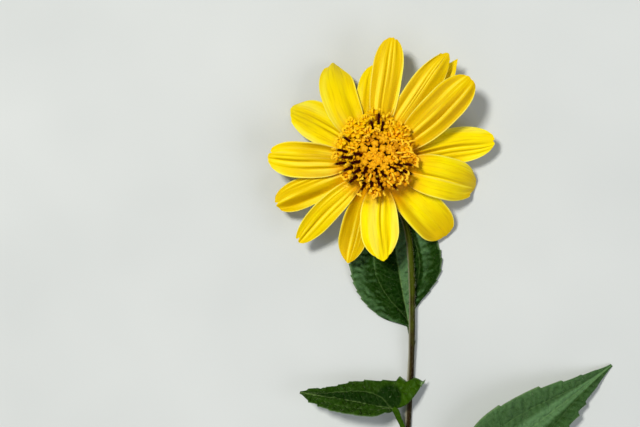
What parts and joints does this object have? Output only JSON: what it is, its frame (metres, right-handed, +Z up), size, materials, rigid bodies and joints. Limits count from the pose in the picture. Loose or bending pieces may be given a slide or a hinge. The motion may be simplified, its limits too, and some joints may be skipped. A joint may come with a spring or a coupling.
{
  "type": "jerusalem artichoke flower",
  "caption": "Cut yellow daisy-like flower with its leafy stem, lying on its back on a table, for still lifes and dressed rooms.",
  "frame": {"origin": "on the table under the middle of the flower's box", "axes": "+Z up from the table, +Y from the cut end of the stem towards the top of the flower head, +X to the flower's right as the camera sees it"},
  "size_m": [0.1174, 0.1902, 0.0264],
  "materials": {
    "petal": "satin",
    "floret": "matte",
    "bud": "matte",
    "receptacle": "matte",
    "bract": "matte",
    "stem": "matte",
    "leaf": "matte"
  },
  "bodies": {
    "root": {"ray_01": "petal", "ray_02": "petal", "ray_03": "petal", "ray_04": "petal", "ray_05": "petal", "ray_06": "petal", "ray_07": "petal", "ray_08": "petal", "ray_09": "petal", "ray_10": "petal", "ray_11": "petal", "ray_12": "petal", "ray_13": "petal", "ray_14": "petal", "ray_15": "petal", "receptacle": "receptacle", "disc_buds": "bud", "floret_row_01": "floret", "floret_row_02": "floret", "floret_row_03": "floret", "floret_row_04": "floret", "floret_row_05": "floret", "floret_row_06": "floret", "floret_row_07": "floret", "floret_row_08": "floret", "floret_row_09": "floret", "floret_row_10": "floret", "floret_row_11": "floret", "floret_row_12": "floret", "floret_row_13": "floret", "bract_outer_1": "bract", "bract_outer_2": "bract", "bract_outer_3": "bract", "bract_outer_4": "bract", "bract_outer_5": "bract", "bract_outer_6": "bract", "bract_outer_7": "bract", "bract_middle_1": "bract", "bract_middle_2": "bract", "bract_middle_3": "bract", "bract_middle_4": "bract", "bract_middle_5": "bract", "bract_middle_6": "bract", "bract_middle_7": "bract", "bract_inner_1": "bract", "bract_inner_2": "bract", "bract_inner_3": "bract", "bract_inner_4": "bract", "bract_inner_5": "bract", "bract_inner_6": "bract", "bract_inner_7": "bract", "stem": "stem", "leaf_upper": "leaf", "leaf_left": "leaf", "leaf_right": "leaf"}
  },
  "joints": []
}
